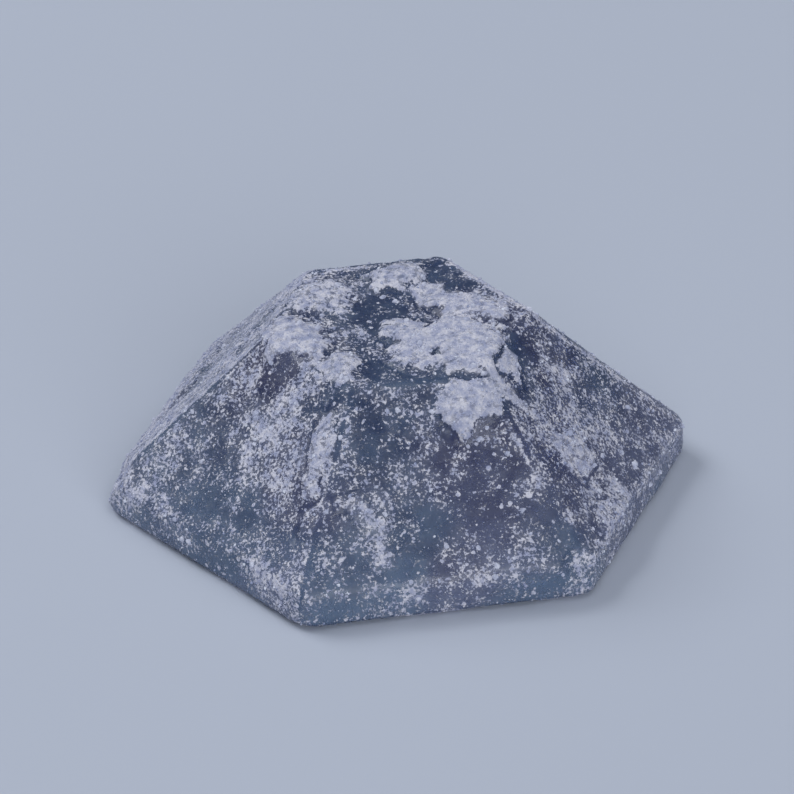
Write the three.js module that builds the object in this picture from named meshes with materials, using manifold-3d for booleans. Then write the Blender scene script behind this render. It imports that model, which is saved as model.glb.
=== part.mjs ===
// Hard tack candy: one gem of boiled sugar, poured in a six-sided mould and tumbled in sugar dust.
// Millimetres, +Z up, +X across two opposite corners, origin under the middle of its flat back.
// It lies on the flat back it was poured with, and its small top face looks up.

import * as THREE from 'three';
import { mergeVertices } from 'three/addons/utils/BufferGeometryUtils.js';
import Module from 'manifold-3d';

const SIDES = 6;
const ACROSS_FLATS = 20.0;
const TABLE_RATIO = 0.46;      // the top face's width over the whole width
const BAND_HEIGHT = 1.45;      // the upright band round the rim
const CROWN_HEIGHT = 5.8;      // the sloping facets, from the band up to the top face
const BAND_DRAFT = 0.12;       // how far the band leans in on its way up
const BACK_ROUNDING = 0.42;
const RIM_ROUNDING = 0.6;
const TABLE_ROUNDING = 0.36;
const RIDGE_ROUNDING = 1.1;    // of the hexagon's corners at the rim; smaller further in, in proportion

const CORNER_DRIFT = 0.17;     // how far a corner strays from the regular hexagon
const POUR_TILT = [0.011, -0.008]; // rise of the top over the back, per millimetre of X and of Y
const SAG = 0.03;              // how far a sloping facet's middle sinks in as the sugar cools

// Unevenness: its whole swing, the length of one lump, and the layer of random numbers it reads.
const FACET_WAVE = { swing: 0.14, length: 4.6, layer: 21 };
const BAND_WOBBLE = { swing: 0.16, length: 1.7, layer: 22 };

const SEED = 5417;
const BACK_DRIFT_LAYER = 1;
const TOP_DRIFT_LAYER = 3;

// Sugar dust that has caked on the top and the facets, seen from above.
// Each cake: x, y, half length, half width, turn in degrees, height above the facet.
const CAKES = [
  [1.9, -2.3, 2.5, 2.2, 80, 0.3],
  [2.9, 0.3, 1.9, 1.3, -20, 0.26],
  [0.2, -1.0, 1.1, 0.8, -30, 0.2],
  [0.7, 3.1, 1.5, 0.9, 20, 0.22],
  [-4.0, -0.4, 1.7, 1.1, -75, 0.26],
  [-2.7, -3.0, 1.4, 0.7, 80, 0.22],
  [-2.6, 2.2, 1.5, 1.0, 40, 0.2],
  [1.9, -5.6, 1.1, 0.85, 0, 0.18],
  [-4.7, -6.1, 1.9, 0.65, 57, 0.16],
  [-2.9, -8.0, 1.3, 0.45, -33, 0.1],
  [5.9, -5.5, 0.9, 0.65, 50, 0.12],
  [7.3, -6.9, 1.5, 0.6, 60, 0.1],
  [6.4, 4.6, 1.5, 0.8, -60, 0.16],
  [-1.2, 7.2, 2.2, 0.9, 8, 0.16],
  [-7.2, 5.2, 1.8, 0.9, 60, 0.12],
  [-5.8, 2.6, 1.2, 0.7, 50, 0.1],
];
const CAKE_EDGE = 0.32;        // share of a cake's half width that its sloping edge takes
const COARSE_RAGGED = { swing: 0.6, length: 1.7, layer: 11 };
const FINE_RAGGED = { swing: 0.5, length: 0.95, layer: 12 };
const CAKE_LUMPS = { swing: 0.5, length: 1.1, layer: 13 };
const SLUMP_RADIUS = 0.2;
const SLUMP_SAMPLES = 8;
const WORN_REACH = [0.1, 0.8]; // from the top face's edge, where dust is knocked off, to full height
const WORN_SHARE = 0.4;        // how much of a cake's height is left on that edge

// Sizes of a normal's Z between which dust begins to lie, and between which the upright band ends.
const DUST_SLOPE = [0.12, 0.5];
const BAND_SLOPE = [0.2, 0.6];

// Pieces knocked off the rim: turn in degrees about Z, depth, height of the blow, its radius.
const CHIPS = [
  [-63, 0.72, 2.3, 3.2],
  [116, 0.6, 0.1, 2.4],
  [176, 0.8, 2.4, 3.4],
  [37, 0.4, 2.0, 2.8],
];
const CHIP_STRETCH = [1, 1.25, 0.8]; // along the blow, along the rim, up
const CHIP_DETAIL = 1;         // few and flat faces, as sugar breaks

// Bubbles that burst at the poured back: x, y, radius, and how deep the lowest point lies.
const BUBBLES = [
  [5.6, 2.9, 0.62, 0.4],
  [4.7, 3.6, 0.3, 0.22],
  [-6.1, -2.0, 0.5, 0.3],
  [-1.6, 6.4, 0.42, 0.34],
  [2.2, -6.9, 0.36, 0.24],
  [-4.3, -5.2, 0.28, 0.2],
];
const BUBBLE_DETAIL = 2;

const APOTHEM = ACROSS_FLATS / 2;
const HEIGHT = BAND_HEIGHT + CROWN_HEIGHT;
const HALF_TURN = Math.PI / SIDES;
const CORNER_RADIUS = APOTHEM / Math.cos(HALF_TURN);

const RING_FLAT_STEPS = 13;    // along each side of the hexagon
const RING_ARC_STEPS = 5;      // round each corner
const SIDE_STEPS = RING_FLAT_STEPS + RING_ARC_STEPS;
const RING_STEPS = SIDES * SIDE_STEPS;
const FILLET_STEPS = 3;
const SECTION_STEPS = [5, 2, 16, 13]; // back, band, crown, top face
const MERGE_DISTANCE = 1e-4;

const wasm = await Module();
wasm.setup();

function smoothstep(low, high, value) {
  const t = Math.min(Math.max((value - low) / (high - low), 0), 1);
  return t * t * (3 - 2 * t);
}

// A repeatable random number from 0 to 1 for a whole-numbered cell.
function cellValue(i, j, layer) {
  let h = Math.imul(i, 374761393) ^ Math.imul(j, 668265263) ^ Math.imul(layer + SEED, 1274126177);
  h = Math.imul(h ^ (h >>> 13), 1274126177);
  return ((h ^ (h >>> 16)) >>> 0) / 4294967296;
}

// Smooth noise from 0 to 1 over the plane, one cell to each `length`.
function noise(x, y, length, layer) {
  const i = Math.floor(x / length);
  const j = Math.floor(y / length);
  const u = smoothstep(0, 1, x / length - i);
  const v = smoothstep(0, 1, y / length - j);
  const near = THREE.MathUtils.lerp(cellValue(i, j, layer), cellValue(i + 1, j, layer), u);
  const far = THREE.MathUtils.lerp(cellValue(i, j + 1, layer), cellValue(i + 1, j + 1, layer), u);
  return THREE.MathUtils.lerp(near, far, v);
}

function unevenness(x, y, { swing, length, layer }) {
  return swing * (noise(x, y, length, layer) - 0.5);
}

// Half of the gem's section, from the middle of the back, out, up and in to the middle of the top.
function sectionPoints() {
  const bends = [
    [0, 0, 0],
    [APOTHEM, 0, BACK_ROUNDING],
    [APOTHEM - BAND_DRAFT, BAND_HEIGHT, RIM_ROUNDING],
    [APOTHEM * TABLE_RATIO, HEIGHT, TABLE_ROUNDING],
    [0, HEIGHT, 0],
  ].map(([x, z, radius]) => ({ at: new THREE.Vector2(x, z), radius }));

  const points = [];
  let start = bends[0].at;
  for (let b = 1; b < bends.length; b += 1) {
    const { at, radius } = bends[b];
    const back = bends[b - 1].at.clone().sub(at).normalize();
    const ahead = b + 1 < bends.length ? bends[b + 1].at.clone().sub(at).normalize() : null;
    const reach = ahead ? radius / Math.tan(Math.acos(back.dot(ahead)) / 2) : 0;
    const end = at.clone().addScaledVector(back, reach);
    const steps = SECTION_STEPS[b - 1];
    for (let s = 0; s < steps; s += 1) points.push(start.clone().lerp(end, s / steps));
    if (ahead) {
      const leave = at.clone().addScaledVector(ahead, reach);
      const bend = new THREE.QuadraticBezierCurve(end, at, leave);
      points.push(...bend.getPoints(FILLET_STEPS).slice(0, -1));
      start = leave;
    } else {
      points.push(end);
    }
  }
  return points;
}

// A point of the hexagon with rounded corners: the step round the ring gives the side and the place.
function ringPoint(step, apothem) {
  const rounding = (RIDGE_ROUNDING * apothem) / APOTHEM;
  const cornerReach = (apothem - rounding) / Math.cos(HALF_TURN);
  const corner = Math.floor(step / SIDE_STEPS);
  const place = step % SIDE_STEPS;
  const arcPoint = (k, share) => {
    const middle = 2 * HALF_TURN * k;
    const facing = middle + HALF_TURN * share;
    return new THREE.Vector2(
      cornerReach * Math.cos(middle) + rounding * Math.cos(facing),
      cornerReach * Math.sin(middle) + rounding * Math.sin(facing),
    );
  };
  if (place < RING_ARC_STEPS) {
    return { point: arcPoint(corner, (2 * place) / RING_ARC_STEPS - 1), corner, along: 0 };
  }
  const along = (place - RING_ARC_STEPS) / RING_FLAT_STEPS;
  return { point: arcPoint(corner, 1).lerp(arcPoint(corner + 1, -1), along), corner, along };
}

// How far a corner strays from the regular hexagon, by random numbers of this layer and the next.
function cornerDrift(corner, layer) {
  const k = corner % SIDES;
  return new THREE.Vector2(cellValue(k, SIDES + 1, layer) - 0.5, cellValue(k, SIDES + 1, layer + 1) - 0.5)
    .multiplyScalar(2 * CORNER_DRIFT);
}

function sideDrift(corner, along, layer) {
  return cornerDrift(corner, layer).lerp(cornerDrift(corner + 1, layer), along);
}

// Distance from the axis to the rim of the hexagon, in the direction `turn`.
function rimDistance(turn) {
  const fromSide = THREE.MathUtils.euclideanModulo(turn, 2 * HALF_TURN) - HALF_TURN;
  return APOTHEM / Math.cos(fromSide);
}

// Height of the caked dust over the facet at x, y, before its edges are softened.
function rawCakeHeight(x, y) {
  const ragged = unevenness(x, y, COARSE_RAGGED) + unevenness(x, y, FINE_RAGGED);
  let height = 0;
  for (const [cx, cy, halfLength, halfWidth, degrees, rise] of CAKES) {
    const turn = THREE.MathUtils.degToRad(degrees);
    const offset = new THREE.Vector2(x - cx, y - cy).rotateAround(new THREE.Vector2(), -turn);
    const inside = 1 - Math.hypot(offset.x / halfLength, offset.y / halfWidth) + ragged;
    height = Math.max(height, rise * smoothstep(0, CAKE_EDGE, inside));
  }
  return height * (1 + unevenness(x, y, CAKE_LUMPS));
}

// The same, averaged over a small disc, as dust slumps at the edge of a cake, and worn on the ridge.
function cakeHeight(x, y) {
  let sum = rawCakeHeight(x, y);
  for (let k = 0; k < SLUMP_SAMPLES; k += 1) {
    const turn = (2 * Math.PI * k) / SLUMP_SAMPLES;
    sum += rawCakeHeight(x + SLUMP_RADIUS * Math.cos(turn), y + SLUMP_RADIUS * Math.sin(turn));
  }
  const apothem = (APOTHEM * Math.hypot(x, y)) / rimDistance(Math.atan2(y, x));
  const fromEdge = smoothstep(...WORN_REACH, Math.abs(apothem - APOTHEM * TABLE_RATIO));
  return (sum / (SLUMP_SAMPLES + 1)) * THREE.MathUtils.lerp(WORN_SHARE, 1, fromEdge);
}

// How far the finished skin stands off the clean gem, along its normal.
function skinRelief(position, normal) {
  const { x, y, z } = position;
  const facingUp = smoothstep(...DUST_SLOPE, normal.z);
  const facingSide = 1 - smoothstep(...BAND_SLOPE, Math.abs(normal.z));
  const height = THREE.MathUtils.clamp((z - BAND_HEIGHT) / CROWN_HEIGHT, 0, 1);
  const sag = SAG * Math.sin(Math.PI * height);
  const wave = unevenness(x, y, FACET_WAVE);
  const wobble = unevenness(Math.atan2(y, x) * CORNER_RADIUS, z, BAND_WOBBLE);
  return facingUp * (wave - sag + cakeHeight(x, y)) + facingSide * wobble;
}

function solidFrom(geometry) {
  const bare = geometry.clone();
  bare.deleteAttribute('normal');
  bare.deleteAttribute('uv');
  const merged = mergeVertices(bare, MERGE_DISTANCE);
  const triVerts = [];
  for (let t = 0; t < merged.index.count; t += 3) {
    const [a, b, c] = [0, 1, 2].map((n) => merged.index.getX(t + n));
    if (a !== b && b !== c && c !== a) triVerts.push(a, b, c);
  }
  return new wasm.Manifold(new wasm.Mesh({
    numProp: 3,
    vertProperties: merged.attributes.position.array,
    triVerts: new Uint32Array(triVerts),
  }));
}

// The gem as poured: a lathe whose rings are pulled out to rounded hexagons.
function pouredGem() {
  const section = sectionPoints();
  const gem = new THREE.LatheGeometry(section, RING_STEPS);
  const place = gem.attributes.position;
  for (let step = 0; step <= RING_STEPS; step += 1) {
    section.forEach(({ x: apothem, y: z }, s) => {
      const { point, corner, along } = ringPoint(step % RING_STEPS, apothem);
      const rise = z / HEIGHT;
      const drift = sideDrift(corner, along, BACK_DRIFT_LAYER).multiplyScalar(1 - rise)
        .addScaledVector(sideDrift(corner, along, TOP_DRIFT_LAYER), rise)
        .multiplyScalar(apothem / THREE.MathUtils.lerp(APOTHEM, APOTHEM * TABLE_RATIO, rise));
      point.add(drift);
      const tilt = (POUR_TILT[0] * point.x + POUR_TILT[1] * point.y) * smoothstep(0, BAND_HEIGHT, z);
      place.setXYZ(step * section.length + s, point.x, point.y, z + tilt);
    });
  }
  return gem;
}

// Dust cakes, waves and sag are laid on the clean gem along its normals.
function dustedGem() {
  const bare = pouredGem();
  bare.deleteAttribute('normal');
  bare.deleteAttribute('uv');
  const gem = mergeVertices(bare, MERGE_DISTANCE);
  gem.computeVertexNormals();
  const place = gem.attributes.position;
  const facing = gem.attributes.normal;
  const position = new THREE.Vector3();
  const normal = new THREE.Vector3();
  for (let v = 0; v < place.count; v += 1) {
    position.fromBufferAttribute(place, v);
    normal.fromBufferAttribute(facing, v);
    position.addScaledVector(normal, skinRelief(position, normal));
    place.setXYZ(v, position.x, position.y, Math.max(position.z, 0));
  }
  return gem;
}

// The solid that a blow takes away: a ball of few faces, stretched along the rim and turned about Z.
function brokenOff([degrees, depth, z, radius]) {
  const turn = THREE.MathUtils.degToRad(degrees);
  const reach = rimDistance(turn) + radius - depth;
  const ball = new THREE.IcosahedronGeometry(radius, CHIP_DETAIL);
  ball.scale(...CHIP_STRETCH);
  ball.rotateZ(turn);
  ball.translate(reach * Math.cos(turn), reach * Math.sin(turn), z);
  return solidFrom(ball);
}

function burstBubble([x, y, radius, depth]) {
  const ball = new THREE.IcosahedronGeometry(radius, BUBBLE_DETAIL);
  ball.translate(x, y, depth - radius);
  return solidFrom(ball);
}

function candyGeometry() {
  let solid = solidFrom(dustedGem());
  for (const hollow of [...CHIPS.map(brokenOff), ...BUBBLES.map(burstBubble)]) {
    solid = solid.subtract(hollow);
  }
  const cut = solid.getMesh();
  const geometry = new THREE.BufferGeometry();
  geometry.setAttribute('position', new THREE.BufferAttribute(cut.vertProperties, 3));
  geometry.setIndex(new THREE.BufferAttribute(cut.triVerts, 1));
  geometry.computeBoundingBox();
  const { min, max } = geometry.boundingBox;
  geometry.translate(-(min.x + max.x) / 2, -(min.y + max.y) / 2, -min.z);
  geometry.computeVertexNormals();
  return geometry;
}

const sugarGlass = new THREE.MeshStandardMaterial({ color: 0x46506e, roughness: 0.55, metalness: 0 });
const candy = new THREE.Mesh(candyGeometry(), sugarGlass);
candy.name = 'candy';

const group = new THREE.Group();
group.add(candy);

export default group;
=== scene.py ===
"""A gem-shaped hard tack candy, dusted with sugar, dressed around its solid and set on a pale table."""

import math
from typing import NamedTuple

import bmesh
import bpy
import numpy as np
from mathutils import Matrix, Vector


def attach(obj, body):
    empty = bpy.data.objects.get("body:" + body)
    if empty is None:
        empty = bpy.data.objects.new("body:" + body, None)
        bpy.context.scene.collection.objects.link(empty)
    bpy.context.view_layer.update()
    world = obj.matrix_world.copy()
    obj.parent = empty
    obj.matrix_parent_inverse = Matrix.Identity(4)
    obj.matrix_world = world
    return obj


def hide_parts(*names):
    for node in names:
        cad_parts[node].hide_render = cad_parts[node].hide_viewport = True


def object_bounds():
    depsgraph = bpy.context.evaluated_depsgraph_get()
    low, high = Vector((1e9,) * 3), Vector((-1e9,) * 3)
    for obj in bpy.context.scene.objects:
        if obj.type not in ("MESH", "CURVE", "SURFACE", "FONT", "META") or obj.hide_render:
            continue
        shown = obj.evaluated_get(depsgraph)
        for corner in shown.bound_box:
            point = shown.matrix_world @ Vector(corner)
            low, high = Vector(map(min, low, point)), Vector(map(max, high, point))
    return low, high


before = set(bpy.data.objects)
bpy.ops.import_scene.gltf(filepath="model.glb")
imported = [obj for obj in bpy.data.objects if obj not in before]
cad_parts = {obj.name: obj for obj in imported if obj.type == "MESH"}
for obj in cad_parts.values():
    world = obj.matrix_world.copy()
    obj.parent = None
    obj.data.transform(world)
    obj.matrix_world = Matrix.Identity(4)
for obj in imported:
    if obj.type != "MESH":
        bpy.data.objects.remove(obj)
CAD_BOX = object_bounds()

bl_info = {
    "name": "Hard Tack Candy",
    "version": (1, 0, 0),
    "blender": (4, 5, 0),
    "location": "View3D > Sidebar > Candy",
    "description": "Boiled-sugar gem with caked sugar dust, loose crystals and a studio stage",
    "category": "Object",
}

MM = 0.001

# The mould, as the solid has it, in millimetres.
SIDES = 6
APOTHEM = 10.0                 # from the axis to the middle of a side
TOP_RATIO = 0.46               # the top face's width over the whole width
BAND_HEIGHT = 1.45             # the upright band round the rim
CROWN_HEIGHT = 5.8             # the sloping facets, from the band up to the top face
TOP_APOTHEM = APOTHEM * TOP_RATIO
NEAR_TOP = 0.97                # share of the top face's size from which the facets' ridges count
SIDE_TURN = math.tau / SIDES
PLAN_SHIFT = (-0.022, -0.038)  # the middle of the solid's box, measured from the middle of the mould

# Repeatable random numbers, mixed as the solid's source mixes them.
SEED = 5417
COLUMN_MIXER = np.uint32(374761393)
ROW_MIXER = np.uint32(668265263)
LAST_MIXER = np.uint32(1274126177)
SHORT_SHIFT = np.uint32(13)
LONG_SHIFT = np.uint32(16)
WORDS = 2 ** 32                # how many different numbers the mixing gives
NOISE_MIDDLE = 0.5
PLANE_SLIDE = 3.1              # cells that the noise in space is slid, so it doesn't repeat the plane's
PLANE_LAYERS = 100             # layers from one plane of it to the next

# Caked sugar dust, seen from above, mostly where the solid has it raised.
# Each cake: x, y, half length, half width, turn in degrees, how well it hides the sugar.
CAKES = (
    (1.9, -2.3, 2.5, 2.2, 80, 1.0),
    (2.9, 0.3, 1.9, 1.3, -20, 0.9),
    (1.7, 1.7, 1.3, 0.7, 75, 0.85),
    (0.2, -2.9, 1.6, 1.0, -40, 0.9),
    (2.0, -5.05, 1.8, 0.5, 6, 0.85),
    (0.2, -1.0, 1.1, 0.8, -30, 0.85),
    (0.7, 3.1, 1.5, 0.9, 20, 0.85),
    (-4.0, -0.4, 1.7, 1.1, -75, 0.95),
    (-2.7, -3.0, 1.4, 0.7, 80, 0.85),
    (-2.6, 2.2, 1.5, 1.0, 40, 0.75),
    (1.9, -5.6, 1.1, 0.85, 0, 0.95),
    (-4.2, -5.9, 1.9, 0.6, 58, 0.75),
    (-2.9, -8.0, 1.3, 0.45, -33, 0.55),
    (5.9, -5.5, 0.9, 0.65, 50, 0.75),
    (7.3, -6.9, 1.5, 0.6, 60, 0.5),
    (6.4, 4.6, 1.5, 0.8, -60, 0.7),
    (-1.2, 7.2, 2.2, 0.9, 8, 0.7),
    (-7.2, 5.2, 1.8, 0.9, 60, 0.55),
    (-5.8, 2.6, 1.2, 0.7, 50, 0.5),
)
# Where the cakes have split or broken off along a ridge: x, y, half length, half width, turn.
SPLITS = (
    (1.2, -4.55, 1.9, 0.2, -3),
    (-0.9, -3.4, 1.2, 0.16, -56),
    (3.5, -3.3, 1.6, 0.17, 60),
)
# The edges of the cakes and splits, as shares of their half width.
FIRM_EDGE = 0.12               # over which a cake that hides everything ends
THIN_EDGE = 0.6                # how much longer a very thin cake takes
# Cracks round a cake run just outside its edge; with their film wiped they also paint a dark line of shade
# under the edge.
CRACK_SHADE_OUTSIDE = 0.07           # where the crack round a cake runs
CRACK_SHADE_WIDTH = 0.14
SPLIT_EDGE = 0.5

# How thick the film of dust lies, from 0 to 1: on the sloping facets, counted from the one at 30 degrees,
# on the top face, on the upright band, and at the least.
FACET_FILM = (0.5, 0.55, 0.74, 0.46, 0.34, 0.43)
TOP_FILM = 0.5
BAND_FILM = 0.34
LEAST_FILM = 0.1
# Film along an edge: how much there is more or less of it, and how far from the edge, in millimetres.
RIDGE_FILM = (0.12, 0.9)
RUBBED_RIDGE = (-0.7, 0.16)
RIM_FILM = (0.2, 0.6)
# A paler line of film on one side of each ridge: swept-up dust, and also a painted highlight along the
# ridge.
SWEPT_HIGHLIGHT_FILM = (0.34, 0.2)
SWEPT_HIGHLIGHT_FROM_RIDGE = 0.26        # where the swept-up line lies, beside the ridge
# Brush marks in the film, right and left of the middle: turn in degrees, strength, layer.
BRUSH_MARKS = ((42, 0.3, 54), (-48, 0.2, 55))
BRUSH_WIDTH = 0.34
BRUSH_SQUEEZE = 0.16           # the width of a brush mark over its length
PATCH_EDGE = 0.4               # of a film patch, as a share of its half width
# Where the film is thicker (+) or rubbed off (-): x, y, half length, half width, turn, amount.
FILM_PATCHES = (
    (-0.6, 0.9, 1.3, 1.2, 90, -0.3),
    (-1.7, -2.8, 1.8, 0.45, 86, -0.32),
    (0.2, -4.3, 2.5, 0.4, -2, -0.3),
    (2.9, 2.8, 1.6, 0.9, -45, -0.2),
    (4.2, 2.0, 3.2, 0.3, -60, 0.7),
    (-0.1, 3.9, 0.7, 0.5, 0, -0.3),
    (-2.5, 4.2, 0.6, 0.4, 30, -0.3),
    (1.7, -7.6, 1.9, 1.4, 0, -0.16),
    (-1.4, -6.0, 1.8, 0.9, 0, -0.16),
    (-3.6, -8.9, 2.0, 1.0, 0, 0.16),
    (-5.9, -3.5, 1.8, 1.2, 60, 0.26),
    (-8.0, -3.2, 1.3, 1.7, 60, -0.14),
    (-5.1, -1.5, 1.2, 0.8, 60, -0.24),
    (4.7, -2.0, 1.3, 0.7, 60, -0.34),
    (7.0, -6.4, 2.4, 1.2, 58, 0.32),
    (8.6, -2.6, 1.8, 1.0, 60, -0.12),
    (-7.4, 3.6, 1.2, 0.9, 60, -0.3),
    (0.9, 9.0, 1.5, 1.0, 80, -0.35),
    (4.3, 6.4, 1.4, 0.7, 60, -0.3),
)

# Unevenness, in parts: the whole swing of each, the length of one lump in millimetres, and its layer.
RAGGED_CAKE = ((0.6, 1.7, 11), (0.5, 0.95, 12))
CRUMBLY_CAKE = ((0.5, 0.5, 41), (0.4, 0.26, 42))
FRAYED_CAKE = ((0.26, 0.14, 43),)
SPLIT_WANDER = ((0.5, 0.9, 45), (0.2, 0.3, 46))
FILM_DRIFTS = ((0.34, 2.6, 51), (0.34, 1.1, 52), (0.46, 0.45, 53))
RAGGED_PATCH = ((0.7, 1.3, 56), (0.5, 0.5, 57))
CAKE_LUMPS = ((0.6, 0.46, 61), (0.4, 0.22, 62))
ORANGE_PEEL = ((0.02, 0.9, 63), (0.014, 0.35, 64))
FILM_GRIT = ((0.05, 0.24, 66),)
BACK_POWDER = ((1.0, 2.1, 71), (0.5, 0.6, 72), (0.4, 0.22, 73))
# Stretches: the length of one, its layer, and the noise at which it starts and is full.
CRACK_SHADE_STRETCHES = (1.3, 44, 0.38, 0.55)
RUBBED_STRETCHES = (1.4, 58, 0.36, 0.6)
SWEPT_HIGHLIGHT_STRETCHES = (1.1, 59, 0.4, 0.6)
NICKS = (0.7, 65, 0.66, 0.86)

# The skin, in millimetres.
MERGE_DISTANCE = 0.0008        # between the solid's loose triangles
RELAX_SHARE = 0.5
RELAX_ROUNDS = 4
CRACK_DEPTH = 0.08
NICK_DEPTH = 0.06
NICK_REACH = 0.6               # from a ridge or the rim
LUMP_GAIN = 2                  # as most of the lumps use half of their swing
LUMP_MIDDLE = 0.4              # the noise at which a lump is neither raised nor sunk
BACK_HOLLOW = 0.07             # how far the back lies in where it has no powder
BACK_EDGE = (0.87, 1.13)       # the unevenness at which a patch of powder on the back starts and is full
BACK_HIDING = 0.85
# Wiping the film in the cracks darkens them, partly bare sugar and partly painted shade along the cakes'
# edges.
CRACK_SHADE_WIPES = 0.9              # share of the film that a crack lacks
# How far up a face looks, from -1 to 1, that is caked, filmed, upright and painted with glow, at the back,
# or strewn with grains.
CAKED_SLOPE = (0.15, 0.45)
FILMED_SLOPE = 0.1
GLOWING_BAND_SLOPE = (0.15, 0.55)
BACK_SLOPE = -0.6
STREWN_SLOPE = -0.5
# How thin the sugar looks: from one thickness to another, and how much painted glow of light through the
# sugar lies along a ridge.
THIN_TO_THICK = (-2.0, 6.6)
RIDGE_GLOW = (0.3, 0.5)
# How thick the loose grains lie: everywhere, and how much more on a cake.
LEAST_GRAINS = 0.1
CAKE_GRAINS = 0.6


def srgb(red, green, blue):
    """A display colour, each part from 0 to 255, as the linear one that a shader takes."""
    def linear(part):
        share = part / 255
        return share / 12.92 if share <= 0.04045 else ((share + 0.055) / 1.055) ** 2.4
    return (linear(red), linear(green), linear(blue), 1.0)


# Colours of the sugar, each from one drift of hue or one tone of powder to the other.
DEEP_SUGAR = (srgb(50, 70, 110), srgb(60, 64, 104))
# The shallow colour is the paler tint of thin and cloudy sugar, and also the painted glow of light through
# the thin parts, the ridges and the band.
SHALLOW_AND_GLOWING_SUGAR = (srgb(120, 143, 174), srgb(128, 137, 169))
CLEAR_TINT = ((0.7, 0.82, 1.0, 1.0), (0.8, 0.78, 1.0, 1.0))
POWDER = (srgb(162, 167, 194), srgb(220, 218, 227))
# The finishes of the sugar.
CLOUDY_ROUGHNESS = 0.32
POWDER_ROUGHNESS = 0.86
CLEAR_ROUGHNESS = 0.14
FOGGED_ROUGHNESS = 0.44
SUGAR_SPECULAR = 0.4
SUGAR_IOR = 1.5
# Where the sugar is thinnest, the shallow colour is partly its paler tint and partly painted glow of light
# through it.
THIN_AND_GLOW_PALES = 0.75              # share of the shallow colour where the sugar is thinnest
CLOUD_PALES = 0.4              # and where it is cloudiest
GRIT_HEIGHT = 0.09 * MM
BARE_GRIT = 0.4                # share of that height on sugar without powder
RIPPLE_HEIGHT = 0.12 * MM

# How the dust hides the sugar: shares hidden, and the noise at which an edge starts and is full.
SPECK_HIDING = 0.92
SPECK_LEVEL = 0.7              # the noise that makes a speck where there is no film
SPECK_EDGE = (-0.06, 0.07)     # round that level
DOT_EDGE = (0.7, 0.75)
DOT_GAIN = 0.12                # how much a full film eases the coarse dots
HAZE_HIDING = 0.28
CAKE_HIDING = 0.96
CAKE_EDGE = (0.0, 0.3)
PORE_EDGE = (0.46, 0.54)
PORE_GAIN = 0.22               # how much a full cake closes its pores, against none
PORE_MIDDLE = 0.5              # how full a cake is where its pores are as the noise has them
# Share that a pore in a full cake still hides: the sugar showing through it is painted shade in the pore.
SHADED_PORE_HIDING = 0.66


# ---------------------------------------------------------------- settings


class CandyDrop(bpy.types.PropertyGroup):
    grid: bpy.props.FloatProperty(
        name="Skin Grid", description="Size of the skin's mesh squares, in millimetres",
        default=0.112, min=0.08, max=0.5)
    lump: bpy.props.FloatProperty(
        name="Cake Lumps", description="Height of the lumps on the caked dust, in millimetres",
        default=0.075, min=0.0, max=0.3)
    lip: bpy.props.FloatProperty(
        name="Cake Lip", description="Height of the crisp edge of a cake, in millimetres",
        default=0.07, min=0.0, max=0.2)
    film: bpy.props.FloatProperty(
        name="Film", description="How much of the bare sugar the thin film of dust covers",
        default=0.32, min=0.0, max=1.0)
    cloud: bpy.props.FloatProperty(
        name="Cloudiness", description="Share of the bare sugar that is cloudy, not clear",
        default=0.5, min=0.05, max=1.0, subtype="FACTOR")
    depth_colour: bpy.props.FloatVectorProperty(
        name="Depth Colour", description="Colour that light keeps on its way through the sugar",
        subtype="COLOR", default=(0.04, 0.2, 0.55), min=0.0, max=1.0)
    depth: bpy.props.FloatProperty(
        name="Depth", description="How fast the sugar swallows light, per metre",
        default=170.0, min=0.0, max=3000.0)


class SugarDust(bpy.types.PropertyGroup):
    fine_density: bpy.props.FloatProperty(
        name="Fine Dust", description="Fine grains to a square millimetre where the dust is thickest",
        default=60.0, min=0.0, max=200.0)
    fine_size: bpy.props.FloatProperty(
        name="Fine Size", description="Largest radius of a fine grain",
        default=0.045 * MM, min=0.01 * MM, max=0.2 * MM, subtype="DISTANCE", unit="LENGTH")
    crystal_density: bpy.props.FloatProperty(
        name="Crystals", description="Coarse crystals to a square millimetre where the dust is thickest",
        default=3.5, min=0.0, max=40.0)
    crystal_size: bpy.props.FloatProperty(
        name="Crystal Size", description="Largest radius of a coarse crystal",
        default=0.085 * MM, min=0.02 * MM, max=0.5 * MM, subtype="DISTANCE", unit="LENGTH")
    crumb_density: bpy.props.FloatProperty(
        name="Crumbs", description="Crumbs of caked dust to a square millimetre where it is thickest",
        default=1.5, min=0.0, max=5.0)
    crumb_size: bpy.props.FloatProperty(
        name="Crumb Size", description="Largest radius of a crumb",
        default=0.15 * MM, min=0.02 * MM, max=0.6 * MM, subtype="DISTANCE", unit="LENGTH")


class CandyStage(bpy.types.PropertyGroup):
    azimuth: bpy.props.FloatProperty(
        name="Camera Azimuth", description="Turn of the camera round the candy",
        default=math.radians(-11), subtype="ANGLE", unit="ROTATION")
    elevation: bpy.props.FloatProperty(
        name="Camera Elevation", description="Height of the camera over the table, as an angle",
        default=math.radians(31.4), subtype="ANGLE", unit="ROTATION")
    distance: bpy.props.FloatProperty(
        name="Camera Distance", description="From the camera to the middle of the candy",
        default=0.32, min=0.05, subtype="DISTANCE", unit="LENGTH")
    share: bpy.props.FloatProperty(
        name="Framing", description="Share of the picture's width that the candy takes",
        default=0.74, min=0.1, max=1.0, subtype="FACTOR")
    table_colour: bpy.props.FloatVectorProperty(
        name="Table Colour", description="Colour of the table that the candy lies on",
        subtype="COLOR", default=srgb(188, 194, 207)[:3], min=0.0, max=1.0)


# ---------------------------------------------------------------- repeatable noise


def smoothstep(low, high, value):
    """0 up to the low value, 1 from the high one on, and smooth between."""
    t = np.clip((value - low) / (high - low), 0, 1)
    return t * t * (3 - 2 * t)


def nearness(distance, reach):
    """1 at no distance, falling to 0 at the reach."""
    return 1 - smoothstep(0.0, reach, distance)


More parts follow.
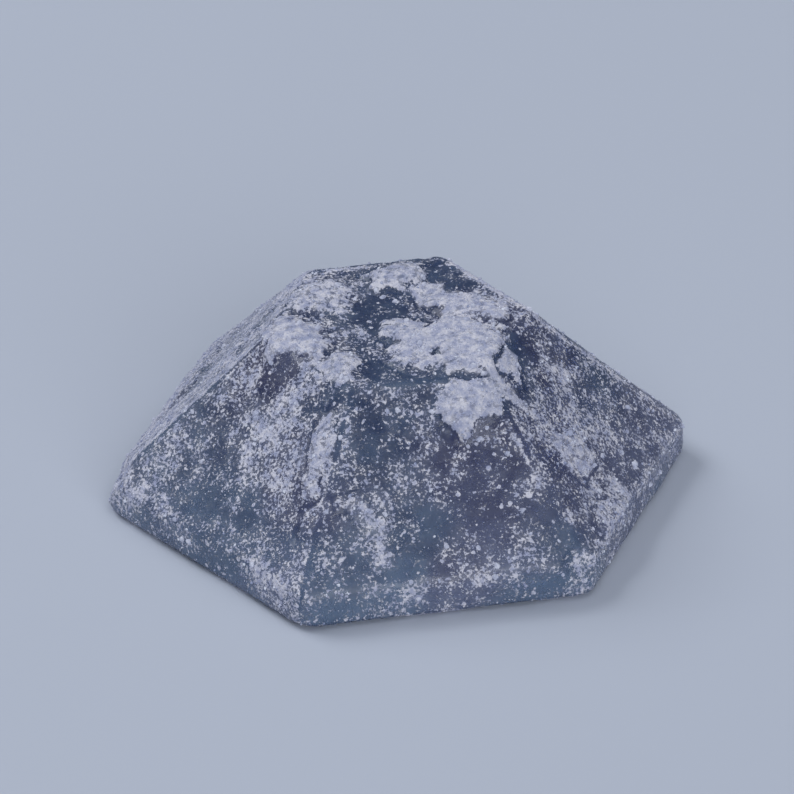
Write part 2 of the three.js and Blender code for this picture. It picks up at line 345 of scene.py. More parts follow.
def cell_value(i, j, layer):
    """A repeatable random number from 0 to 1 for each whole-numbered cell, as the solid's source has it."""
    def word(value):
        return (np.asarray(value, np.int64) & (WORDS - 1)).astype(np.uint32)
    with np.errstate(over="ignore"):
        mixed = word(i) * COLUMN_MIXER ^ word(j) * ROW_MIXER
        mixed = mixed ^ word(np.asarray(layer) + SEED) * LAST_MIXER
        mixed = (mixed ^ (mixed >> SHORT_SHIFT)) * LAST_MIXER
        mixed = mixed ^ (mixed >> LONG_SHIFT)
    return mixed / WORDS


def noise(x, y, length, layer):
    """Smooth noise from 0 to 1 over the plane, one cell to each length."""
    i, j = np.floor(x / length), np.floor(y / length)
    u, v = smoothstep(0, 1, x / length - i), smoothstep(0, 1, y / length - j)
    near = cell_value(i, j, layer) * (1 - u) + cell_value(i + 1, j, layer) * u
    far = cell_value(i, j + 1, layer) * (1 - u) + cell_value(i + 1, j + 1, layer) * u
    return near * (1 - v) + far * v


def solid_noise(place, length, layer):
    """The same in space, as a stack of planes along Z."""
    x, y, z = place.T
    k = np.floor(z / length)
    w = smoothstep(0, 1, z / length - k)
    below = noise(x + PLANE_SLIDE * length, y, length, layer + PLANE_LAYERS * k)
    above = noise(x + PLANE_SLIDE * length, y, length, layer + PLANE_LAYERS * (k + 1))
    return below * (1 - w) + above * w


def sway(x, y, parts):
    """Unevenness over the plane, half its swing to each side of 0."""
    return sum(swing * (noise(x, y, length, layer) - NOISE_MIDDLE) for swing, length, layer in parts)


def solid_sway(place, parts, middle=NOISE_MIDDLE):
    """The same in space, or with more of it to one side."""
    return sum(swing * (solid_noise(place, length, layer) - middle) for swing, length, layer in parts)


def stretches(x, y, length, layer, start, full):
    """1 in some stretches of the plane and 0 between them, with soft ends."""
    return smoothstep(start, full, noise(x, y, length, layer))


def solid_stretches(place, length, layer, start, full):
    """The same in space."""
    return smoothstep(start, full, solid_noise(place, length, layer))


# ---------------------------------------------------------------- where the dust lies


def inside_patch(x, y, patch):
    """1 in the middle of an oval patch, 0 on its outline and below 0 outside."""
    cx, cy, half_length, half_width, degrees = patch[:5]
    turn = math.radians(degrees)
    along = (x - cx) * math.cos(turn) + (y - cy) * math.sin(turn)
    across = (y - cy) * math.cos(turn) - (x - cx) * math.sin(turn)
    return 1 - np.hypot(along / half_length, across / half_width)


def cake_cover(x, y):
    """How well a cake hides a place, with a ragged edge, and how open the cracks are there.

    Cracks run along stretches just outside a cake's edge, where they also paint a dark line of shade under
    it, and where the cakes have split.
    """
    ragged = sway(x, y, RAGGED_CAKE) + sway(x, y, CRUMBLY_CAKE)
    frayed = sway(x, y, FRAYED_CAKE)
    cover, crack_and_shade = np.zeros_like(x), np.zeros_like(x)
    for cake in CAKES:
        hiding = cake[5]
        depth = inside_patch(x, y, cake) + ragged
        edge = FIRM_EDGE + THIN_EDGE * (1 - hiding)
        cover = np.maximum(cover, hiding * smoothstep(0.0, edge, depth + frayed))
        crack_and_shade = np.maximum(crack_and_shade, hiding * nearness(np.abs(depth + CRACK_SHADE_OUTSIDE), CRACK_SHADE_WIDTH))
    crack_and_shade = crack_and_shade * stretches(x, y, *CRACK_SHADE_STRETCHES) * (1 - cover)
    wander = sway(x, y, SPLIT_WANDER)
    for split in SPLITS:
        opened = smoothstep(0.0, SPLIT_EDGE, inside_patch(x + wander, y - wander, split))
        cover, crack_and_shade = cover * (1 - opened), np.maximum(crack_and_shade, opened)
    return cover, crack_and_shade


def back_powder(x, y):
    """How much powder lies on the poured back, in patches, from 0 to 1."""
    patchy = sum(share * noise(x, y, length, layer) for share, length, layer in BACK_POWDER)
    return smoothstep(*BACK_EDGE, patchy)


def apothem_of(x, y):
    """Size of the hexagon round the axis that a place lies on."""
    facet_turn = (np.arctan2(y, x) % SIDE_TURN) - SIDE_TURN / 2
    return np.hypot(x, y) * np.cos(facet_turn)


def thickness_under(x, y):
    """Height of the clean gem over a place on its back."""
    sloping = BAND_HEIGHT + CROWN_HEIGHT * (APOTHEM - apothem_of(x, y)) / (APOTHEM - TOP_APOTHEM)
    return np.clip(sloping, BAND_HEIGHT, BAND_HEIGHT + CROWN_HEIGHT)


def ridge_distance(place):
    """Distance to the nearest ridge between two facets or round the top face."""
    x, y, z = place.T
    to_corner = np.abs((np.arctan2(y, x) + SIDE_TURN / 2) % SIDE_TURN - SIDE_TURN / 2)
    ridge = np.hypot(x, y) * np.sin(to_corner)
    apothem = apothem_of(x, y)
    to_top = np.hypot(apothem - TOP_APOTHEM, z - BAND_HEIGHT - CROWN_HEIGHT)
    return np.minimum(np.where(apothem > TOP_APOTHEM * NEAR_TOP, ridge, APOTHEM), to_top)


def rim_distance(place):
    """Distance to the rim, where the facets meet the upright band."""
    x, y, z = place.T
    return np.hypot(apothem_of(x, y) - APOTHEM, z - BAND_HEIGHT)


def brush_mark(x, y, degrees, strength, layer):
    """Faint marks left where the drop was rubbed, long in one direction and thin across it."""
    turn = math.radians(degrees)
    along = x * math.cos(turn) + y * math.sin(turn)
    across = y * math.cos(turn) - x * math.sin(turn)
    return sway(BRUSH_SQUEEZE * along, across, ((strength, BRUSH_WIDTH, layer),))


def along_edge(distance, amount, reach):
    """An amount that is there on an edge and fades away from it."""
    return amount * nearness(distance, reach)


def edge_film(place):
    """How much thicker the film is along the ridges and the rim, and thinner where they are rubbed, with a
    line of thicker film on one side of each ridge that is also a painted highlight.
    """
    x, y, _ = place.T
    ridge = ridge_distance(place)
    rubbed = solid_stretches(place, *RUBBED_STRETCHES)
    one_side = np.sin(SIDES * np.arctan2(y, x)) < 0
    # Painted highlight: a line of thicker film beside one side of each ridge, also swept-up dust.
    swept_highlight = one_side * solid_stretches(place, *SWEPT_HIGHLIGHT_STRETCHES)
    film = along_edge(ridge, *RIDGE_FILM) + rubbed * along_edge(ridge, *RUBBED_RIDGE)
    film = film + swept_highlight * along_edge(np.abs(ridge - SWEPT_HIGHLIGHT_FROM_RIDGE), *SWEPT_HIGHLIGHT_FILM)
    return film + along_edge(rim_distance(place), *RIM_FILM)


def film_cover(place, normal):
    """How thick the thin film of dust lies, up to 1."""
    x, y, _ = place.T
    filmed = normal[:, 2] > FILMED_SLOPE
    side = np.floor(np.arctan2(y, x) % math.tau / SIDE_TURN).astype(int) % SIDES
    film = np.where(apothem_of(x, y) > TOP_APOTHEM, np.array(FACET_FILM)[side], TOP_FILM)
    film = np.where(filmed, film, BAND_FILM)
    right, left = (brush_mark(x, y, *mark) for mark in BRUSH_MARKS)
    film = film + edge_film(place) + solid_sway(place, FILM_DRIFTS) + np.where(x > 0, right, left)
    ragged = sway(x, y, RAGGED_PATCH)
    for patch in FILM_PATCHES:
        film = film + patch[5] * smoothstep(0, PATCH_EDGE, inside_patch(x, y, patch) + ragged) * filmed
    return np.clip(film, LEAST_FILM, 1)


# ---------------------------------------------------------------- mesh helpers


def new_piece(name, mesh):
    """An object with this mesh, at the origin of the scene."""
    piece = bpy.data.objects.new(name, mesh)
    bpy.context.scene.collection.objects.link(piece)
    return piece


def baked(piece, name):
    """The piece with its modifiers' result as a plain mesh; the piece itself goes."""
    bpy.context.view_layer.update()
    graph = bpy.context.evaluated_depsgraph_get()
    mesh = bpy.data.meshes.new_from_object(piece.evaluated_get(graph), depsgraph=graph)
    bpy.data.objects.remove(piece)
    return new_piece(name, mesh)


def vertex_arrays(mesh):
    """The places and the normals of a mesh's vertices, a row to each."""
    place = np.empty(len(mesh.vertices) * 3)
    normal = np.empty(len(mesh.vertices) * 3)
    mesh.vertices.foreach_get("co", place)
    mesh.vertex_normals.foreach_get("vector", normal)
    return place.reshape(-1, 3), normal.reshape(-1, 3)


def set_places(mesh, place):
    """Move a mesh's vertices to the places given, a row to each."""
    mesh.vertices.foreach_set("co", np.ascontiguousarray(place).ravel())
    mesh.update()


def set_attribute(mesh, name, values):
    """A number at each vertex, for the materials and the grains to read."""
    layer = mesh.attributes.new(name, "FLOAT", "POINT")
    layer.data.foreach_set("value", np.ascontiguousarray(values, np.float32))


# ---------------------------------------------------------------- shader helpers

RAGS_A_CELL = 3                # how much finer than its cell a spot's ragged edge is
RAG_DETAIL = 2.0


class Wire:
    """A number in a shader. Arithmetic on it adds Math nodes."""

    def __init__(self, tree, socket):
        self.tree, self.socket = tree, socket

    def maths(self, operation, *values, clamp=False):
        return self.tree.node(
            "ShaderNodeMath", {"operation": operation, "use_clamp": clamp}, dict(enumerate(values)))

    def __add__(self, other):
        return self.maths("ADD", self, other)

    __radd__ = __add__

    def __sub__(self, other):
        return self.maths("SUBTRACT", self, other)

    def __rsub__(self, other):
        return self.maths("SUBTRACT", other, self)

    def __mul__(self, other):
        return self.maths("MULTIPLY", self, other)

    __rmul__ = __mul__

    def __truediv__(self, other):
        return self.maths("DIVIDE", self, other)

    def larger(self, other):
        return self.maths("MAXIMUM", self, other)

    def clamped(self):
        return self.maths("ADD", self, 0.0, clamp=True)


class Shading:
    """A material's node tree, emptied, with one method that adds any node."""

    def __init__(self, name):
        self.material = bpy.data.materials.new(name)
        self.material.use_nodes = True
        self.tree = self.material.node_tree
        self.tree.nodes.clear()
        self.output = self.tree.nodes.new("ShaderNodeOutputMaterial")

    def node(self, kind, settings=None, sockets=None, out=0):
        made = self.tree.nodes.new(kind)
        for name, value in (settings or {}).items():
            setattr(made, name, value)
        for key, value in (sockets or {}).items():
            if isinstance(value, Wire):
                self.tree.links.new(value.socket, made.inputs[key])
            else:
                made.inputs[key].default_value = value
        return Wire(self, made.outputs[out])

    def place_in_mm(self):
        place = self.node("ShaderNodeTexCoord", out="Object")
        return self.node(
            "ShaderNodeVectorMath", {"operation": "SCALE"}, {"Vector": place, "Scale": 1 / MM})

    def attribute(self, name):
        return self.node("ShaderNodeAttribute", {"attribute_name": name}, out="Fac")

    def grain(self, place, per_mm, detail=3.0, roughness=0.55):
        return self.node(
            "ShaderNodeTexNoise", {},
            {"Vector": place, "Scale": per_mm, "Detail": detail, "Roughness": roughness}, out="Fac")

    def step(self, value, low, high):
        """0 up to the low value, 1 from the high one on, and smooth between."""
        return self.node(
            "ShaderNodeMapRange", {"interpolation_type": "SMOOTHSTEP"},
            {"Value": value, "From Min": low, "From Max": high})

    def spots(self, place, per_mm, largest, raggedness, edge):
        """1 inside ragged spots, one to a cell, with the largest radius and the rest measured in cells."""
        shift = self.node("ShaderNodeTexNoise", {}, {
            "Vector": place, "Scale": RAGS_A_CELL * per_mm, "Detail": RAG_DETAIL}, out="Color")
        bent = self.node("ShaderNodeVectorMath", {"operation": "MULTIPLY_ADD"}, {
            0: shift, 1: (raggedness / per_mm,) * 3, 2: place})
        cells = {"Vector": bent, "Scale": per_mm}
        distance = self.node("ShaderNodeTexVoronoi", {}, cells, out="Distance")
        size = self.node("ShaderNodeSeparateColor", {}, {
            0: self.node("ShaderNodeTexVoronoi", {}, cells, out="Color")})
        return self.step(size * size * largest - distance, 0.0, edge)

    def mix_colour(self, factor, first, second):
        return self.node(
            "ShaderNodeMix", {"data_type": "RGBA"}, {0: factor, 6: first, 7: second}, out=2)

    def bump(self, height, strength, distance):
        return self.node(
            "ShaderNodeBump", {}, {"Height": height, "Strength": strength, "Distance": distance})

    def finish(self, surface, volume=None):
        self.tree.links.new(surface.socket, self.output.inputs["Surface"])
        if volume is not None:
            self.tree.links.new(volume.socket, self.output.inputs["Volume"])
        return self.material


# ---------------------------------------------------------------- materials


def hue_drift(shading, place):
    """0 where the sugar is blue, 1 where it is nearer to violet."""
    return shading.step(shading.grain(place, per_mm=0.17, detail=2.0), low=0.4, high=0.62)


def cloudy_sugar(shading, place, powder):
    """The solid share of the skin: cloudy sugar, paler where it is thin, with painted glow of light through
    thin parts, ridges and the band, that turns to matt powder.
    """
    drift = hue_drift(shading, place)
    cloud = shading.grain(place, per_mm=0.9, detail=5.0, roughness=0.6)
    deep = shading.mix_colour(drift, *DEEP_SUGAR)
    shallow_and_glowing = shading.mix_colour(drift, *SHALLOW_AND_GLOWING_SUGAR)
    thin_and_glow_share = THIN_AND_GLOW_PALES * shading.attribute("thinness_and_glow")
    # Paler where thin or cloudy: the thin share is partly the sugar's paler tint and partly painted glow of
    # light coming through it.
    pale = (thin_and_glow_share + CLOUD_PALES * shading.step(cloud, low=0.35, high=0.7)).clamped()
    tone = shading.grain(place, per_mm=2.6, detail=5.0, roughness=0.65)
    dust = shading.mix_colour(shading.step(tone, low=0.34, high=0.66), *POWDER)
    grit = shading.grain(place, per_mm=9.0, detail=3.0)
    return shading.node("ShaderNodeBsdfPrincipled", {}, {
        "Base Color": shading.mix_colour(powder, shading.mix_colour(pale, deep, shallow_and_glowing), dust),
        "Roughness": CLOUDY_ROUGHNESS + (POWDER_ROUGHNESS - CLOUDY_ROUGHNESS) * powder,
        "Specular IOR Level": SUGAR_SPECULAR,
        "Normal": shading.bump(grit * (BARE_GRIT + powder), strength=0.7, distance=GRIT_HEIGHT),
    })


def sugar_glass(shading, place):
    """Clear boiled sugar, its skin slightly fogged, with blue and violet drifts in its tint."""
    fog = shading.step(shading.grain(place, per_mm=1.6, detail=4.0), low=0.35, high=0.7)
    ripple = shading.grain(place, per_mm=2.4, detail=3.0)
    return shading.node("ShaderNodeBsdfPrincipled", {}, {
        "Base Color": shading.mix_colour(hue_drift(shading, place), *CLEAR_TINT),
        "Roughness": CLEAR_ROUGHNESS + (FOGGED_ROUGHNESS - CLEAR_ROUGHNESS) * fog,
        "IOR": SUGAR_IOR,
        "Transmission Weight": 1.0,
        "Normal": shading.bump(ripple, strength=0.25, distance=RIPPLE_HEIGHT),
    })


def dust_over_sugar(shading, place, eased):
    """How well the dust hides the sugar: fine specks, coarse dots, a haze, and cakes with pores, which in a
    full cake are painted darker as shade.

    A full film eases the specks' threshold by the amount given.
    """
    cake = shading.attribute("cake")
    film = shading.attribute("film")
    fine = shading.grain(place, per_mm=8.0, detail=3.0, roughness=0.6)
    specks = SPECK_HIDING * shading.step(fine - (SPECK_LEVEL - eased * film), *SPECK_EDGE)
    coarse = shading.grain(place, per_mm=3.6, detail=1.5, roughness=0.5)
    spots = shading.spots(place, per_mm=3.1, largest=0.34, raggedness=0.4, edge=0.05)
    dots = shading.step(coarse + DOT_GAIN * film, *DOT_EDGE).larger(spots)
    haze = HAZE_HIDING * film * film
    crumbly = shading.grain(place, per_mm=4.0, detail=4.0, roughness=0.62)
    crumbly = crumbly + PORE_GAIN * (cake - PORE_MIDDLE)
    caked = CAKE_HIDING * shading.step(crumbly, *PORE_EDGE) * shading.step(cake, *CAKE_EDGE)
    # Pores in a full cake are painted darker, as shade in them; in a thin cake they show bare sugar.
    shaded_pores = SHADED_PORE_HIDING * cake * cake
    return (specks.larger(dots) + haze).larger(caked).larger(shaded_pores).clamped()


def dusted_sugar(drop):
    """The drop's skin: caked powder, a speckled film of dust, and dark sugar between."""
    shading = Shading("dusted_sugar")
    place = shading.place_in_mm()
    cover = dust_over_sugar(shading, place, drop.film)
    solid_share = cover + drop.cloud * (1 - cover)
    surface = shading.node("ShaderNodeMixShader", {}, {
        0: solid_share, 1: sugar_glass(shading, place),
        2: cloudy_sugar(shading, place, cover / solid_share)})
    inside = shading.node("ShaderNodeVolumeAbsorption", {}, {
        "Color": (*drop.depth_colour, 1.0), "Density": drop.depth})
    return shading.finish(surface, inside)


def loose_sugar(kind):
    """The sugar of one kind of loose grain, some of it greyer."""
    shading = Shading(kind.name)
    tone = shading.grain(shading.place_in_mm(), per_mm=2.2, detail=2.0)
    shader = shading.node("ShaderNodeBsdfPrincipled", {}, {
        "Base Color": shading.mix_colour(shading.step(tone, low=0.35, high=0.65), kind.dark, kind.light),
        "Roughness": kind.roughness,
        "Specular IOR Level": SUGAR_SPECULAR,
    })
    return shading.finish(shader)


def table_top(colour):
    """The plain pale table, its colour a little darker in wide faint patches."""
    shading = Shading("table_top")
    mottle = shading.grain(shading.place_in_mm(), per_mm=0.02, detail=2.0)
    darker = tuple(TABLE_SHADE * part for part in colour)
    shader = shading.node("ShaderNodeBsdfPrincipled", {}, {
        "Base Color": shading.mix_colour(TABLE_MOTTLE * mottle, (*colour, 1.0), (*darker, 1.0)),
        "Roughness": TABLE_ROUGHNESS,
    })
    return shading.finish(shader)


# ---------------------------------------------------------------- the drop


def fine_skin(node, grid):
    """The node's shape as an even mesh of small squares, in millimetres."""
    mesh = node.data.copy()
    mesh.transform(Matrix.Scale(1 / MM, 4))
    shape = bmesh.new()
    shape.from_mesh(mesh)
    bmesh.ops.remove_doubles(shape, verts=shape.verts, dist=MERGE_DISTANCE)
    shape.to_mesh(mesh)
    shape.free()
    mesh.materials.clear()
    piece = new_piece("skin", mesh)
    remesh = piece.modifiers.new("grid", "REMESH")
    remesh.mode = "VOXEL"
    remesh.voxel_size = grid
    smooth = piece.modifiers.new("relax", "SMOOTH")
    smooth.factor = RELAX_SHARE
    smooth.iterations = RELAX_ROUNDS
    return baked(piece, "candy_body")


def relief_height(place, cake, crack_and_shade, film, drop):
    """Height of the cakes' lips and lumps, the nicks, the cracks and a faint orange peel."""
    lumps = solid_sway(place, CAKE_LUMPS, LUMP_MIDDLE)
    edge_distance = np.minimum(ridge_distance(place), rim_distance(place))
    nicks = nearness(edge_distance, NICK_REACH) * solid_stretches(place, *NICKS)
    raised = cake * (drop.lip + LUMP_GAIN * drop.lump * lumps)
    raised = raised + film * solid_sway(place, FILM_GRIT) + solid_sway(place, ORANGE_PEEL)
    return raised - NICK_DEPTH * nicks - CRACK_DEPTH * crack_and_shade


def thinness_and_glow_at(x, y, place, upward):
    """How thin the sugar looks, from 0 to 1, for its paler tint and a painted glow of light through it:
    more so near the rim, along the ridges and on the band.
    """
    thinness_and_glow = 1 - smoothstep(*THIN_TO_THICK, thickness_under(x, y))
    # Painted glow of light through the sugar along the ridges.
    thinness_and_glow = thinness_and_glow + along_edge(ridge_distance(place), *RIDGE_GLOW)
    # The upright band is painted paler, as painted light, as if lit from all round.
    band_glow = 1 - smoothstep(*GLOWING_BAND_SLOPE, np.abs(upward))
    return np.clip(np.maximum(thinness_and_glow, band_glow), 0, 1)


def lay_relief(mesh, drop):
    """The relief, laid on the skin along its normals, and the attributes that its looks follow."""
    place, normal = vertex_arrays(mesh)
    upward = normal[:, 2]
    x, y = place[:, 0] + PLAN_SHIFT[0], place[:, 1] + PLAN_SHIFT[1]
    cake, crack_and_shade = (share * smoothstep(*CAKED_SLOPE, upward) for share in cake_cover(x, y))
    # The film wiped along the cracks shows bare sugar and paints a dark line of shade there.
    film = np.clip(film_cover(place, normal) - CRACK_SHADE_WIPES * crack_and_shade, 0, 1)
    powder = back_powder(x, y)
    at_back = upward < BACK_SLOPE
    raised = relief_height(place, cake, crack_and_shade, film, drop)
    height = np.where(at_back, BACK_HOLLOW * (powder - 1), raised)
    set_places(mesh, place + normal * height[:, None])
    set_attribute(mesh, "cake", np.where(at_back, BACK_HIDING * powder, cake))
    set_attribute(mesh, "film", film)
    # Thinness with painted glow, for the skin's colour to follow.
    set_attribute(mesh, "thinness_and_glow", thinness_and_glow_at(x, y, place, upward))
    grains = np.clip(LEAST_GRAINS + film * film + CAKE_GRAINS * cake, 0, 1)
    set_attribute(mesh, "dust", grains * (upward > STREWN_SLOPE))


class CANDY_OT_body(bpy.types.Operator):
    """Make the boiled-sugar drop with its caked and filmed dust"""
    bl_idname = "candy.body"
    bl_label = "Sugar Drop"

    def execute(self, context):
        drop = context.scene.candy_drop
        piece = fine_skin(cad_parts["candy"], drop.grid)
        lay_relief(piece.data, drop)
        piece.data.transform(Matrix.Scale(MM, 4))
        piece.data.polygons.foreach_set("use_smooth", [True] * len(piece.data.polygons))
        piece.data.materials.append(dusted_sugar(drop))
        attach(piece, "root")
        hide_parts("candy")
        return {"FINISHED"}


# ---------------------------------------------------------------- loose dust and crystals

CRAG_SCALE = 9.0 / MM          # lumps on a grain to a metre
CRAG_DETAIL = 1.0
LEANEST = (0.55, 0.7, 0.6)     # the least that a grain measures along each of its axes, against its size


class GrainKind(NamedTuple):
    """A kind of loose grain. Its smallest size, crags and lift are shares of its largest size.

    The rough ball is the node that makes a grain before its crags, from few faces.
    """
    name: str
    rough_ball: str
    ball_sockets: dict
    smallest: float
    crag: float
    lift: float
    seed: int
    light: tuple
    dark: tuple
    roughness: float


FINE_DUST = GrainKind(
    "fine_dust", "GeometryNodeMeshUVSphere", {"Segments": 4, "Rings": 2, "Radius": 1.0},
    smallest=0.3, crag=0.4, lift=0.1, seed=3,
    light=srgb(214, 216, 230), dark=srgb(160, 167, 194), roughness=0.75)
CRYSTAL = GrainKind(
    "crystal", "GeometryNodeMeshIcoSphere", {"Subdivisions": 1, "Radius": 1.0},
    smallest=0.45, crag=0.8, lift=0.1, seed=5,
    light=srgb(222, 225, 236), dark=srgb(146, 154, 184), roughness=0.4)
CRUMB = GrainKind(
    "crumb", "GeometryNodeMeshIcoSphere", {"Subdivisions": 2, "Radius": 1.0},
    smallest=0.35, crag=1.1, lift=0.0, seed=8,
    light=srgb(208, 210, 224), dark=srgb(172, 177, 200), roughness=0.85)


def grain_tree(kind_of_grain):
    """A tree that strews grains over a mesh, as thick as its dust attribute says."""
    tree = bpy.data.node_groups.new(kind_of_grain.name, "GeometryNodeTree")
    face = tree.interface
    face.new_socket("Geometry", in_out="INPUT", socket_type="NodeSocketGeometry")
    for label in ("Density", "Smallest", "Largest", "Crag", "Lift"):
        face.new_socket(label, in_out="INPUT", socket_type="NodeSocketFloat")
    face.new_socket("Seed", in_out="INPUT", socket_type="NodeSocketInt")
    face.new_socket("Material", in_out="INPUT", socket_type="NodeSocketMaterial")
    face.new_socket("Geometry", in_out="OUTPUT", socket_type="NodeSocketGeometry")

    def node(kind, settings=None, sockets=None):
        made = tree.nodes.new(kind)
        for key, value in (settings or {}).items():
            setattr(made, key, value)
        for key, value in (sockets or {}).items():
            if isinstance(value, bpy.types.NodeSocket):
                tree.links.new(value, made.inputs[key])
            else:
                made.inputs[key].default_value = value
        return made

    given = node("NodeGroupInput").outputs
    dust = node("GeometryNodeInputNamedAttribute", {"data_type": "FLOAT"}, {"Name": "dust"})
    density = node("ShaderNodeMath", {"operation": "MULTIPLY"}, {
        0: dust.outputs["Attribute"], 1: given["Density"]})
    spots = node("GeometryNodeDistributePointsOnFaces", {"distribute_method": "RANDOM"}, {
        "Mesh": given["Geometry"], "Density": density.outputs[0], "Seed": given["Seed"]})
    lift = node("ShaderNodeVectorMath", {"operation": "SCALE"}, {
        0: spots.outputs["Normal"], "Scale": given["Lift"]})
    settled = node("GeometryNodeSetPosition", {}, {
        "Geometry": spots.outputs["Points"], "Offset": lift.outputs[0]})
    turn = node("FunctionNodeRandomValue", {"data_type": "FLOAT_VECTOR"}, {
        0: (0.0, 0.0, 0.0), 1: (math.tau, math.tau, math.tau), "Seed": given["Seed"]})
    size = node("FunctionNodeRandomValue", {"data_type": "FLOAT"}, {
        2: given["Smallest"], 3: given["Largest"], "Seed": given["Seed"]})
    shape = node("FunctionNodeRandomValue", {"data_type": "FLOAT_VECTOR"}, {
        0: LEANEST, 1: (1.0, 1.0, 1.0), "Seed": given["Seed"]})
    scale = node("ShaderNodeVectorMath", {"operation": "SCALE"}, {
        0: shape.outputs[0], "Scale": size.outputs[1]})
    grain = node(kind_of_grain.rough_ball, {}, kind_of_grain.ball_sockets)
    strewn = node("GeometryNodeInstanceOnPoints", {}, {
        "Points": settled.outputs[0], "Instance": grain.outputs["Mesh"],
        "Rotation": turn.outputs[0], "Scale": scale.outputs[0]})
    real = node("GeometryNodeRealizeInstances", {}, {"Geometry": strewn.outputs[0]})
    craggy = node("ShaderNodeTexNoise", {"noise_dimensions": "3D"}, {
        "Scale": CRAG_SCALE, "Detail": CRAG_DETAIL})
    centred = node("ShaderNodeVectorMath", {"operation": "SUBTRACT"}, {
        0: craggy.outputs["Color"], 1: (NOISE_MIDDLE,) * 3})
    crag = node("ShaderNodeVectorMath", {"operation": "SCALE"}, {
        0: centred.outputs[0], "Scale": given["Crag"]})
    broken = node("GeometryNodeSetPosition", {}, {
        "Geometry": real.outputs[0], "Offset": crag.outputs[0]})
    painted = node("GeometryNodeSetMaterial", {}, {
        "Geometry": broken.outputs[0], "Material": given["Material"]})
    node("NodeGroupOutput", {}, {"Geometry": painted.outputs[0]})
    return tree


def strew(name, kind, per_mm2, size):
    """Grains of one kind over the drop, up to the size given, as a plain mesh that rides with it."""
    values = {
        "Density": per_mm2 / MM ** 2,
        "Smallest": kind.smallest * size,
        "Largest": size,
        "Crag": kind.crag * size,
        "Lift": kind.lift * size,
        "Seed": kind.seed,
        "Material": loose_sugar(kind),
    }
    carrier = new_piece("carrier", bpy.data.objects["candy_body"].data.copy())
    modifier = carrier.modifiers.new("strew", "NODES")
    modifier.node_group = grain_tree(kind)
    for item in modifier.node_group.interface.items_tree:
        if item.in_out == "INPUT" and item.name in values:
            modifier[item.identifier] = values[item.name]
    piece = baked(carrier, name)
    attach(piece, "root")


class CANDY_OT_dust(bpy.types.Operator):
    """Strew fine dust, coarse crystals and crumbs of caked dust over the drop"""
    bl_idname = "candy.dust"
    bl_label = "Loose Sugar"

    def execute(self, context):
        dust = context.scene.candy_dust
        strew("sugar_dust", FINE_DUST, dust.fine_density, dust.fine_size)
        strew("sugar_crystals", CRYSTAL, dust.crystal_density, dust.crystal_size)
        strew("sugar_crumbs", CRUMB, dust.crumb_density, dust.crumb_size)
        return {"FINISHED"}


# ---------------------------------------------------------------- stage

TABLE_HALF = 1.5               # metres
TABLE_SHADE = 0.8              # of the table's colour, in its darker patches
TABLE_MOTTLE = 0.12
TABLE_ROUGHNESS = 0.7
ROOM_COLOUR = srgb(196, 206, 224)
ROOM_STRENGTH = 0.3
SENSOR_WIDTH = 36.0            # millimetres
# Each lamp: name, place and then width and depth in metres, watts, colour.
LAMPS = (
    ("window", (-0.28, 0.3, 0.42), (0.34, 0.3), 1.74, (0.93, 0.96, 1.0)),
    ("ceiling", (0.12, -0.05, 0.55), (0.5, 0.5), 0.7, (0.96, 0.98, 1.0)),
    ("front", (0.05, -0.5, 0.22), (0.5, 0.3), 1.5, (0.94, 0.97, 1.0)),
)


def facing(direction):
    """The turn that points a lamp or a camera along a direction."""
    return direction.to_track_quat("-Z", "Y").to_euler()


def area_lamp(name, place, size, power, colour, target):
    """A soft oblong lamp that points at the target."""
    light = bpy.data.lights.new(name, "AREA")
    light.shape = "RECTANGLE"
    light.size, light.size_y = size
    light.energy = power
    light.color = colour
    lamp = bpy.data.objects.new(name, light)
    lamp.location = place
    lamp.rotation_euler = facing(target - Vector(place))
    bpy.context.scene.collection.objects.link(lamp)


def lay_table(height, colour):
    """The wide table that the drop lies on."""
    half = TABLE_HALF
    corners = [(-half, -half, height), (half, -half, height), (half, half, height), (-half, half, height)]
    mesh = bpy.data.meshes.new("table_top")
    mesh.from_pydata(corners, [], [(0, 1, 2, 3)])
    mesh.materials.append(table_top(colour))
    new_piece("table_top", mesh)


def light_room(scene):
    """The even light of the room."""
    world = bpy.data.worlds.new("room")
    world.use_nodes = True
    background = world.node_tree.nodes["Background"].inputs
    background["Color"].default_value = ROOM_COLOUR
    background["Strength"].default_value = ROOM_STRENGTH
    scene.world = world


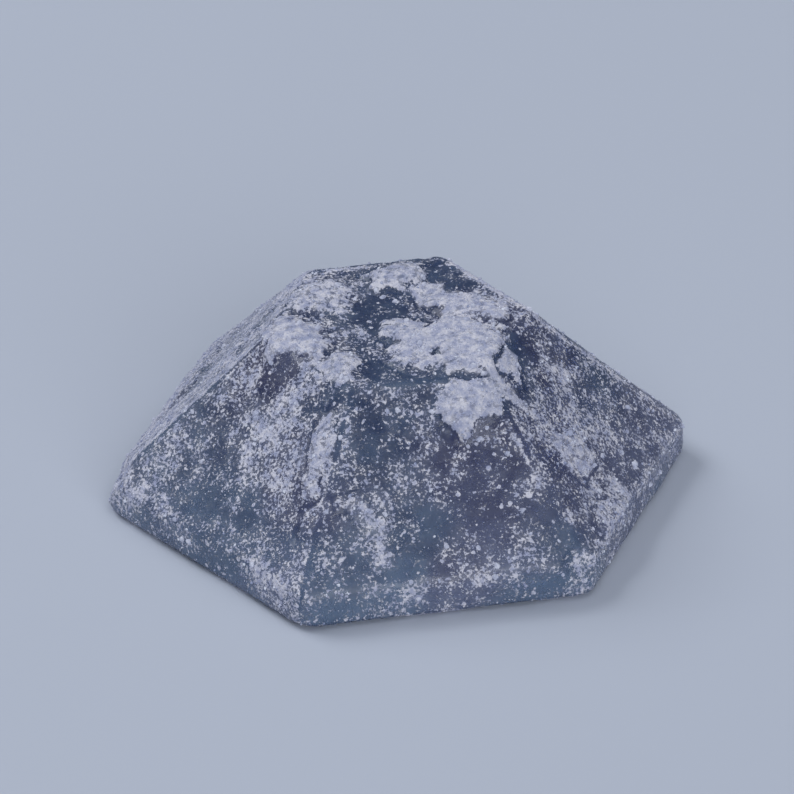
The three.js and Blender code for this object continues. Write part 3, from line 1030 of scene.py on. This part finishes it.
def set_camera(scene, stage, middle, width):
    """A camera that looks at the middle of the drop, framed to the drop's width."""
    toward = Vector((
        math.sin(stage.azimuth) * math.cos(stage.elevation),
        -math.cos(stage.azimuth) * math.cos(stage.elevation),
        math.sin(stage.elevation)))
    lens = bpy.data.cameras.new("camera")
    lens.sensor_width = SENSOR_WIDTH
    lens.lens = lens.sensor_width * stage.distance / (width / stage.share)
    camera = bpy.data.objects.new("camera", lens)
    camera.location = middle + toward * stage.distance
    camera.rotation_euler = facing(-toward)
    scene.collection.objects.link(camera)
    scene.camera = camera


class CANDY_OT_stage(bpy.types.Operator):
    """Set the table, the soft light and the camera"""
    bl_idname = "candy.stage"
    bl_label = "Table, Light and Camera"

    def execute(self, context):
        scene = context.scene
        stage = scene.candy_stage
        scene.view_settings.view_transform = "Standard"
        low, high = (Vector(corner) for corner in CAD_BOX)
        middle = (low + high) / 2
        lay_table(low.z, stage.table_colour)
        light_room(scene)
        for lamp in LAMPS:
            area_lamp(*lamp, target=middle)
        set_camera(scene, stage, middle, high.x - low.x)
        return {"FINISHED"}


# ---------------------------------------------------------------- add-on


class CANDY_PT_panel(bpy.types.Panel):
    bl_label = "Hard Tack Candy"
    bl_idname = "CANDY_PT_panel"
    bl_space_type = "VIEW_3D"
    bl_region_type = "UI"
    bl_category = "Candy"

    def draw(self, context):
        for group in (context.scene.candy_drop, context.scene.candy_dust, context.scene.candy_stage):
            box = self.layout.box()
            for name in group.__annotations__:
                box.prop(group, name)
        for operator in OPERATORS:
            self.layout.operator(operator.bl_idname)


OPERATORS = (CANDY_OT_body, CANDY_OT_dust, CANDY_OT_stage)
CLASSES = (CandyDrop, SugarDust, CandyStage, *OPERATORS, CANDY_PT_panel)


def register():
    for cls in CLASSES:
        bpy.utils.register_class(cls)
    bpy.types.Scene.candy_drop = bpy.props.PointerProperty(type=CandyDrop)
    bpy.types.Scene.candy_dust = bpy.props.PointerProperty(type=SugarDust)
    bpy.types.Scene.candy_stage = bpy.props.PointerProperty(type=CandyStage)


def unregister():
    del bpy.types.Scene.candy_drop
    del bpy.types.Scene.candy_dust
    del bpy.types.Scene.candy_stage
    for cls in reversed(CLASSES):
        bpy.utils.unregister_class(cls)


def main():
    register()
    bpy.ops.candy.body()
    bpy.ops.candy.dust()
    bpy.ops.candy.stage()


if __name__ == "__main__":
    main()
